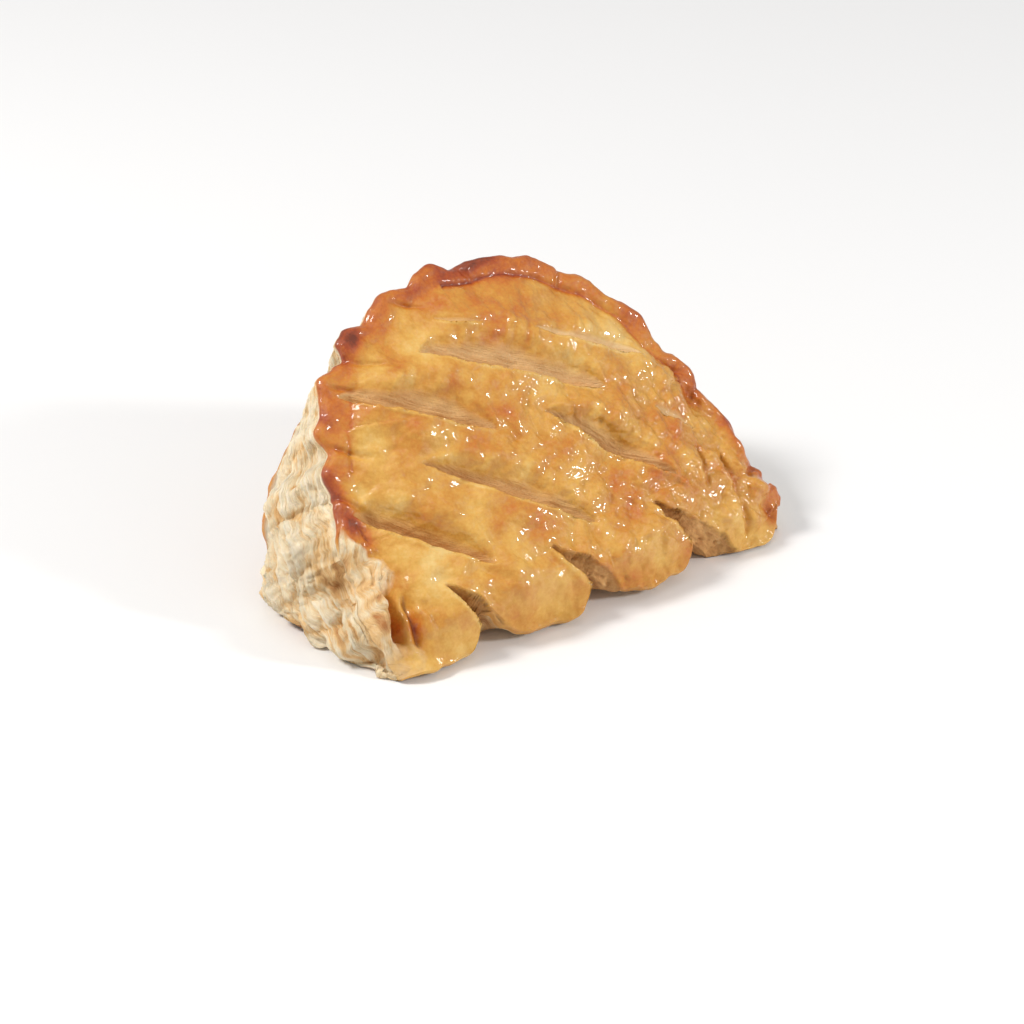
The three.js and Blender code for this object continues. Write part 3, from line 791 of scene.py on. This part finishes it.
def build():
    x, t = face_grid()
    n, maps, grain = face_relief(x, t)
    face = face_point(x, t, n)
    loop = loop_indices()
    rows, span, along, rim_side = outside(n[loop])
    kind, f, rows = (np.array(column) for column in zip(*rows))
    count = len(face)
    middle = np.array([[FOLD_LENGTH / 2, BACK_DEPTH / 2, 0.0]])
    points = np.vstack([face, rows.reshape(-1, 3), middle])
    total = len(points)

    ring = [loop] + [count + k * LOOP + np.arange(LOOP) for k in range(len(rows))]
    i, j = np.meshgrid(np.arange(CELLS), np.arange(CELLS))
    i, j = i.ravel(), j.ravel()
    corners = ((i, j), (i + 1, j), (i + 1, j + 1), (i, j + 1))
    quads = [np.stack([face_index(*corner) for corner in corners], 1)]
    for a, b in zip(ring, ring[1:]):
        quads.append(np.stack([a, np.roll(a, -1), np.roll(b, -1), b], 1))
    quads = np.vstack(quads)
    last = ring[-1]
    cap = np.stack([last, np.roll(last, -1), np.full(LOOP, total - 1)], 1)

    # maps for the outside
    def on_rows(values):
        return np.tile(values, len(rows))

    kind, f = np.repeat(kind, LOOP), np.repeat(f, LOOP)
    along_all, span_all, on_rim = on_rows(along), on_rows(span), on_rows(rim_side)
    ply = np.where(kind == "edge", 3.0 * (f - 1), f * span_all)
    q = rows.reshape(-1, 3)
    is_edge, is_wall, is_back, is_base = (kind == k for k in ("edge", "wall", "back", "base"))
    is_side = is_wall | is_edge

    # laminated ridges on the wall, wandering and merging
    uv = flat(along_all, ply)
    warp = 3.6 * noise(uv * np.array([1, 0.7, 1]), 17, 71) + 1.5 * noise(uv, 7, 72)
    warp = warp + 0.5 * noise(uv, 2.6, 70)
    lower_end = step(along_all, 48, 34)
    strong = smooth(span_all / 22) * smooth(f / mix(0.04, 0.001, lower_end)) * step(f, 1, 0.94)
    strong = np.where(is_edge, lower_end * f, strong * is_wall)
    strong = strong * on_rim * mix(1.0, 0.5, step(q[:, 2], 40, 60))
    strong = strong * mix(1.0, 0.5, smooth((along_all - 0.5 * RIM_LENGTH) / 60))
    big_pitch, small_pitch, leaf_pitch = LAYER_PITCHES
    big = saw((ply + warp) / big_pitch + 0.13)
    small = saw((ply + 1.2 * warp) / small_pitch + 0.8 * noise(uv, 9, 73))
    patchy = 0.35 + 0.65 * smooth(0.5 + noise(uv, 17, 74))
    across_ply = ply + warp
    skewed = np.stack([along_all, 1.7 * across_ply, 0.45 * along_all + 0.6 * across_ply], 1)
    puffs = np.abs(noise(skewed, 15, 85)) ** 0.7
    folds = np.abs(noise(skewed * np.array([0.8, 1.2, 1]), 7, 86)) ** 0.8
    flakes = np.abs(noise(skewed * np.array([0.7, 1.5, 1]), 3, 87))
    leaves = saw((ply + 1.1 * warp) / leaf_pitch)
    relief = strong * (1.5 * patchy * (big - 0.45) + 0.6 * (1.2 - patchy) * (small - 0.45))
    relief = relief + strong * (2.6 * (puffs - 0.4) + 1.5 * (folds - 0.4) + 0.9 * (flakes - 0.3))
    relief = relief + strong * (2.0 * noise(q, 14, 75) + 0.32 * leaves + 0.35 * fbm(q, 2.4, 88, 2))
    d, v = spots(q, 7.5, 77)
    pit = clamp01(1 - d / 0.2) * (v > 0.6) * strong
    relief = relief - 1.6 * pit
    for *centre, size, height in WALL_KNOBS:
        away = np.linalg.norm(q - np.array(centre), axis=1)
        relief = relief + height * bell(away / size) * (is_wall | is_back)
    back_on = is_back * smooth(f / 0.05) * smooth((1 - f) / 0.12) * on_rim
    relief = relief + back_on * (2.2 * noise(q, 26, 78) + 1.3 * fbm(q, 9, 79, 3))
    relief = relief + is_edge * on_rim * 0.25 * fbm(q, 3, 80, 2)

    edge_layer = step(f, 0.3, 0.6) * is_edge
    low_left = step(along_all, 44, 34) * is_edge
    layer = np.where(is_edge, np.maximum(edge_layer, low_left), 0) + is_wall
    back_layer = 0.35 * step(f, 0.08, 0) + 0.6 * lower_end * step(q[:, 2], 5, 0)
    layer = layer + is_back * back_layer + is_base * 0.6
    layer = np.where(on_rim, layer, 0.8 * (is_edge * step(f, 0.45, 0.75) + is_wall))
    back_toast = 0.34 + 0.12 * noise(q, 18, 81) + 0.1 * fbm(q, 6, 82, 2)
    back_toast = back_toast + 0.18 * step(f, 0.12, 0)
    toast = np.where(is_back | is_base, back_toast, 0.4)
    toast = np.where(is_edge, on_rows(maps["toast"][loop]) + 0.04 * on_rim, toast)
    # painted shade in the wall's hollows, between its ridges and leaves and in its pits
    hollow_shade = clamp01(1.1 - 2.6 * puffs) + 0.7 * clamp01(1 - 3 * folds)
    hollow_shade = hollow_shade + 0.4 * clamp01(1 - 4 * flakes)
    tan_and_recess_shade = 0.35 * (1 - big) + 0.25 * (1 - small) + 0.2 * (1 - leaves) + 0.5 * hollow_shade + 0.9 * pit
    tan_and_recess_shade = np.where(is_side, clamp01(tan_and_recess_shade), 0.3)
    # browned tips of the layers, strongest near the foot and along the rim; under the flaps, off
    # the rim, a flat amount is painted shade
    tip = clamp01(0.5 * noise(uv, 8, 83) + 0.35 * noise(uv * np.array([0.5, 2, 1]), 3, 84) + 0.1)
    low = step(q[:, 2], 30, 4)
    browning_and_shade = clamp01(tip * (0.40 + 0.55 * low) + 0.07 * low + 0.5 * pit)
    browning_and_shade = np.where(on_rim, browning_and_shade, 0.45) * is_side
    gloss = np.where(is_edge, 0.8 * (1 - edge_layer), np.where(is_back, 0.35, 0.0))
    nothing = np.zeros(len(q))
    # each map's values on the outside, and at the middle of the underside
    rest = {
        "inner": (on_rows(maps["inner"][loop]) * is_side, 0.0),
        "line": (nothing, 0.0),
        "pale_and_highlight": (nothing, 0.0),
        "toast": (toast, 0.4),
        "gloss": (gloss, 0.0),
        "layer": (clamp01(layer), 0.3),
        "cut_tone_and_shade": (nothing + 0.9, 0.5),
        "crumb": (on_rows(maps["crumb"][loop]), 0.0),
        "tan_and_recess_shade": (tan_and_recess_shade, 0.3),
        "browning_and_shade": (browning_and_shade, 0.0),
    }
    out = {name: np.concatenate([maps[name], v, [end]]) for name, (v, end) in rest.items()}
    outer_grain = np.stack([along_all, GRAIN_STRETCH * (ply + 1.2 * warp), 0 * ply + 900], 1)
    grain = np.vstack([grain, outer_grain, middle])

    # fine relief, pushed along the surface's own direction
    fine = np.zeros(total)
    soft = 1 - maps["inner"]
    shiny = step(x, 45, 90) * step(t, 75, 45)
    blister = fbm(face, 3.4, 91, 3)
    wrinkles = np.abs(noise(face * np.array([1, 0.6, 0.6]), 4.5, 96)) ** 0.8 - 0.4
    d, v = spots(face, 4.6, 92)
    bubble = clamp01(1 - (d / 0.42) ** 2) * (v > 0.55)
    glazed = 0.26 * blister + 0.46 * bubble * (0.45 + 0.55 * shiny)
    glazed = glazed + (0.14 + 0.3 * shiny) * fbm(face, 2.0, 93, 2)
    fine[:count] = soft * (glazed + (0.38 + 0.5 * shiny) * wrinkles)
    fine[:count] += maps["inner"] * 0.20 * fbm(grain[:count] * np.array([0.18, 1, 1]), 1.3, 94, 2)
    d, v = spots(face, 2.1, 95)
    fine[:count] -= maps["crumb"] * 1.5 * clamp01(1 - d / 0.40) * (v > 0.35)
    fine[:count] += maps["crumb"] * 0.5 * fbm(face, 2.6, 97, 3)
    fine[:count] *= smooth(rim_distance(x, t, FINISHED)[0] / 2.0) * 0.8 + 0.2
    fine[count:-1] = relief
    normals = vertex_normals(points, quads)
    points = points + normals * fine[:, None]
    points[:, 2] = np.maximum(points[:, 2], 0.0)
    return points, quads, cap, out, grain


def vertex_normals(points, quads):
    a, b, c, d = (points[quads[:, k]] for k in range(4))
    flat_normal = np.cross(c - a, d - b)
    normals = np.zeros_like(points)
    for k in range(4):
        for axis in range(3):
            normals[:, axis] += np.bincount(quads[:, k], flat_normal[:, axis], len(points))
    length = np.linalg.norm(normals, axis=1)
    return normals / np.maximum(length, TINY)[:, None]


def linked(name, data):
    """A new object in the scene."""
    made = bpy.data.objects.new(name, data)
    bpy.context.scene.collection.objects.link(made)
    return made


def make_body():
    points, quads, cap, maps, grain = build()
    # each quad is split along its shorter diagonal
    a, b, c, d = (points[quads[:, k]] for k in range(4))
    ac = np.linalg.norm(a - c, axis=1) < np.linalg.norm(b - d, axis=1)
    first = np.where(ac[:, None], quads[:, [0, 1, 2]], quads[:, [0, 1, 3]])
    second = np.where(ac[:, None], quads[:, [0, 2, 3]], quads[:, [1, 2, 3]])
    faces = np.vstack([first, second, cap])
    world = (points - np.array([*ORIGIN, 0.0])) / MM_PER_M
    mesh = bpy.data.meshes.new("pastry_body")
    mesh.vertices.add(len(world))
    mesh.vertices.foreach_set("co", world.astype(np.float32).ravel())
    mesh.loops.add(faces.size)
    mesh.loops.foreach_set("vertex_index", faces.astype(np.int32).ravel())
    mesh.polygons.add(len(faces))
    mesh.polygons.foreach_set("loop_start", np.arange(0, faces.size, 3, dtype=np.int32))
    mesh.polygons.foreach_set("use_smooth", np.ones(len(faces), bool))
    mesh.update(calc_edges=True)
    mesh.validate()
    for name, values in maps.items():
        layer = mesh.attributes.new(name, "FLOAT", "POINT")
        layer.data.foreach_set("value", clamp01(values).astype(np.float32))
    layer = mesh.attributes.new("grain", "FLOAT_VECTOR", "POINT")
    layer.data.foreach_set("vector", grain.astype(np.float32).ravel())
    return linked("pastry_body", mesh)


# ---- materials ----


def linear(rgb):
    """A colour given as 0-255 screen values, in the renderer's linear values."""
    v = [c / 255 for c in rgb]
    return [c / 12.92 if c <= 0.04045 else ((c + 0.055) / 1.055) ** 2.4 for c in v] + [1.0]


class Nodes:
    """Short forms for building a node tree."""

    def __init__(self, material):
        material.use_nodes = True
        self.tree = material.node_tree
        self.tree.nodes.clear()

    def feed(self, socket, value):
        if isinstance(value, bpy.types.NodeSocket):
            self.tree.links.new(value, socket)
        else:
            socket.default_value = value

    def made(self, kind, inputs, output=0, **settings):
        """An output of a new node, whose inputs are given by name or number."""
        node = self.tree.nodes.new(kind)
        for key, value in settings.items():
            setattr(node, key, value)
        for key, value in inputs.items():
            self.feed(node.inputs[key], value)
        return node.outputs[output]

    def math(self, operation, a, b, clamp=False):
        return self.made("ShaderNodeMath", {0: a, 1: b}, operation=operation, use_clamp=clamp)

    def add(self, total, *rest, clamp=False):
        for k, value in enumerate(rest, 1):
            total = self.math("ADD", total, value, clamp and k == len(rest))
        return total

    def less(self, a, b):
        return self.math("SUBTRACT", a, b)

    def times(self, a, b, clamp=False):
        return self.math("MULTIPLY", a, b, clamp)

    def attribute(self, name, output="Fac"):
        return self.made("ShaderNodeAttribute", {}, output, attribute_name=name)

    def noise(self, vector, scale, detail=2.0, rough=0.5):
        inputs = {"Vector": vector, "Scale": scale, "Detail": detail, "Roughness": rough}
        return self.made("ShaderNodeTexNoise", inputs)

    def centred(self, *settings):
        return self.less(self.noise(*settings), 0.5)

    def ramp(self, value, stops):
        made = self.made("ShaderNodeValToRGB", {0: value})
        elements = made.node.color_ramp.elements
        while len(elements) < len(stops):
            elements.new(0.5)
        for element, (place, colour) in zip(elements, stops):
            element.position = place
            element.color = linear(colour)
        return made

    def blend(self, factor, a, b):
        return self.made("ShaderNodeMix", {0: factor, 6: a, 7: b}, 2, data_type="RGBA")

    def scaled(self, vector, factors):
        return self.made("ShaderNodeVectorMath", {0: vector, 1: factors}, operation="MULTIPLY")

    def bump(self, height, strength, distance):
        inputs = {"Strength": strength, "Distance": distance, "Height": height}
        return self.made("ShaderNodeBump", inputs)

    def surface(self, **inputs):
        """The material's shader, with its inputs by name."""
        inputs = {name.replace("_", " "): value for name, value in inputs.items()}
        output = self.tree.nodes.new("ShaderNodeOutputMaterial")
        self.feed(output.inputs["Surface"], self.made("ShaderNodeBsdfPrincipled", inputs))


CRUST = [
    (0.0, (222, 186, 112)),
    (0.22, (213, 162, 72)),
    (0.42, (197, 133, 42)),
    (0.60, (188, 103, 20)),
    (0.80, (156, 62, 4)),
    (1.0, (104, 38, 4)),
]
LAYERS = [
    (0.0, (248, 236, 212)),
    (0.35, (243, 221, 182)),
    (0.62, (231, 188, 128)),
    (1.0, (184, 120, 62)),
]
CRUMB = [(0.0, (226, 190, 138)), (0.4, (205, 154, 92)), (1.0, (152, 88, 38))]


def pastry_material():
    material = bpy.data.materials.new("pastry")
    g = Nodes(material)
    place = g.made("ShaderNodeTexCoord", {}, "Object")
    grain = g.attribute("grain", "Vector")
    toast, layer, line, pale_and_highlight = map(g.attribute, ("toast", "layer", "line", "pale_and_highlight"))
    inner, cut_tone_and_shade, crumb_on = map(g.attribute, ("inner", "cut_tone_and_shade", "crumb"))
    gloss, tan_and_recess_shade, browning_and_shade = map(g.attribute, ("gloss", "tan_and_recess_shade", "browning_and_shade"))

    broad = g.centred(place, 80, 3.0)
    mottle = g.centred(place, 230, 4.0, 0.6)
    speck = g.centred(place, 1100, 2.0)
    bake = g.add(toast, g.times(broad, 0.44), g.times(mottle, 0.38), g.times(speck, 0.22))
    # lighter on the lips, and on the puckers' tops as a painted highlight; darker along the
    # creases as painted shade
    bake = g.add(g.less(bake, g.times(pale_and_highlight, 0.30)), g.times(line, 0.36), clamp=True)
    crust = g.ramp(bake, CRUST)

    flake = g.centred(g.scaled(grain, (0.45, 1.9, 1.0)), 1.0, 4.0, 0.65)
    streak = g.centred(g.scaled(grain, (0.10, 0.75, 1.0)), 1.0, 3.0)
    # painted shade darkens the layers in their recesses and pits
    ply = g.add(g.times(tan_and_recess_shade, 0.50), g.times(streak, 0.55), g.times(mottle, 0.45))
    # browning on the layers' tips, and painted shade under the flaps
    ply = g.add(ply, g.times(flake, 0.44), g.times(browning_and_shade, 0.85), clamp=True)
    layers = g.ramp(ply, LAYERS)

    fibres = g.scaled(grain, (0.16, 1.6, 1.0))
    fibre = g.centred(fibres, 1.0, 3.0)
    porous = g.times(g.centred(place, 520, 3.0, 0.6), crumb_on)
    crumb_tone = g.add(g.times(fibre, 0.30), g.times(mottle, 0.25), g.times(porous, 0.9))
    # the crumb darkens with its own tone and with the painted shade towards the lips
    crumb = g.ramp(g.add(crumb_tone, g.times(cut_tone_and_shade, 0.60), clamp=True), CRUMB)

    torn = g.add(layer, g.times(mottle, 0.5))
    torn = g.times(g.less(torn, 0.25), 1.8, clamp=True)
    colour = g.blend(torn, crust, layers)
    cut = g.add(inner, g.times(mottle, 0.35))
    cut = g.times(g.less(cut, 0.12), 1.35, clamp=True)
    colour = g.blend(cut, colour, crumb)

    # glaze: shiny crust, matt layers and crumb
    matt = g.math("MAXIMUM", torn, cut)
    glazed = g.times(gloss, g.less(1.0, matt))
    patchy = g.times(glazed, g.add(0.8, g.times(mottle, 0.8)), clamp=True)

    # fine relief
    crackle = g.noise(place, 900, 3.0, 0.6)
    skin = g.noise(place, 420, 4.0, 0.6)
    height = g.add(g.times(skin, 0.7), g.times(crackle, 0.25))
    flaking = g.times(g.noise(fibres, 1.0, 4.0, 0.6), g.less(1.9, g.times(cut, 1.2)))
    flaking = g.add(flaking, g.times(crackle, 0.8))
    mixed = g.made("ShaderNodeMix", {0: matt, 2: height, 3: flaking}, data_type="FLOAT")

    g.surface(
        Base_Color=colour,
        Roughness=g.less(0.72, g.times(patchy, 0.34)),
        Normal=g.bump(mixed, 0.8, 0.0006),
        Coat_Normal=g.bump(g.noise(place, 300, 2.0, 0.4), 0.5, 0.0004),
        Coat_Weight=patchy,
        Coat_Roughness=0.06,
        Coat_IOR=1.45,
        Subsurface_Weight=0.06,
        Subsurface_Radius=(1.0, 0.55, 0.25),
        Subsurface_Scale=0.003,
    )
    return material


def floor_material():
    material = bpy.data.materials.new("floor")
    Nodes(material).surface(Base_Color=(0.86, 0.86, 0.865, 1), Roughness=0.6)
    return material


# ---- the scene ----


def drawing_to_world(point):
    return Vector((point[0] - ORIGIN[0], point[1] - ORIGIN[1], point[2])) / MM_PER_M


def place_camera():
    ca, sa = math.cos(VIEW_AZIMUTH), math.sin(VIEW_AZIMUTH)
    ce, se = math.cos(VIEW_ELEVATION), math.sin(VIEW_ELEVATION)
    back = Vector((sa * ce, -ca * ce, se))
    right = Vector((ca, sa, 0))
    up = back.cross(right)
    scale = VIEW_DISTANCE / MM_PER_M / FOCAL_PIXELS
    middle = PHOTO_SIZE / 2
    eye = drawing_to_world(AIM_POINT) + back * VIEW_DISTANCE / MM_PER_M
    eye -= right * (AIM_PIXEL[0] - middle) * scale
    eye -= up * (middle - AIM_PIXEL[1]) * scale
    data = bpy.data.cameras.new("camera")
    data.sensor_width = SENSOR_MM
    data.lens = FOCAL_PIXELS * SENSOR_MM / PHOTO_SIZE
    data.clip_start, data.clip_end = CLIP
    camera = linked("camera", data)
    camera.matrix_world = Matrix.Translation(eye) @ Matrix((right, up, back)).transposed().to_4x4()
    bpy.context.scene.camera = camera


def area_light(name, direction, distance, size, watts, colour):
    data = bpy.data.lights.new(name, "AREA")
    data.shape = "RECTANGLE"
    data.size, data.size_y = size
    data.energy = watts
    data.color = colour
    light = linked(name, data)
    away = Vector(direction).normalized()
    light.location = Vector(LIGHT_TARGET) + away * distance
    light.rotation_euler = away.to_track_quat("Z", "Y").to_euler()


def make_stage():
    mesh = bpy.data.meshes.new("floor")
    sides = ((-1, -1), (1, -1), (1, 1), (-1, 1))
    mesh.from_pydata([(x * FLOOR_HALF, y * FLOOR_HALF, 0) for x, y in sides], [], [(0, 1, 2, 3)])
    floor = linked("floor", mesh)
    floor.location.z = -FLOOR_DROP
    floor.data.materials.append(floor_material())

    world = bpy.data.worlds.new("studio")
    world.use_nodes = True
    background = world.node_tree.nodes["Background"]
    background.inputs["Color"].default_value = (1.0, 1.0, 1.0, 1)
    background.inputs["Strength"].default_value = WORLD_STRENGTH
    bpy.context.scene.world = world

    for light in LIGHTS:
        area_light(*light)
    view = bpy.context.scene.view_settings
    view.view_transform, view.look = "Standard", "None"
    view.exposure, view.gamma = 0.0, 1.0


body = make_body()
body.data.materials.append(pastry_material())
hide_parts("turnover")
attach(body, "root")
make_stage()
place_camera()
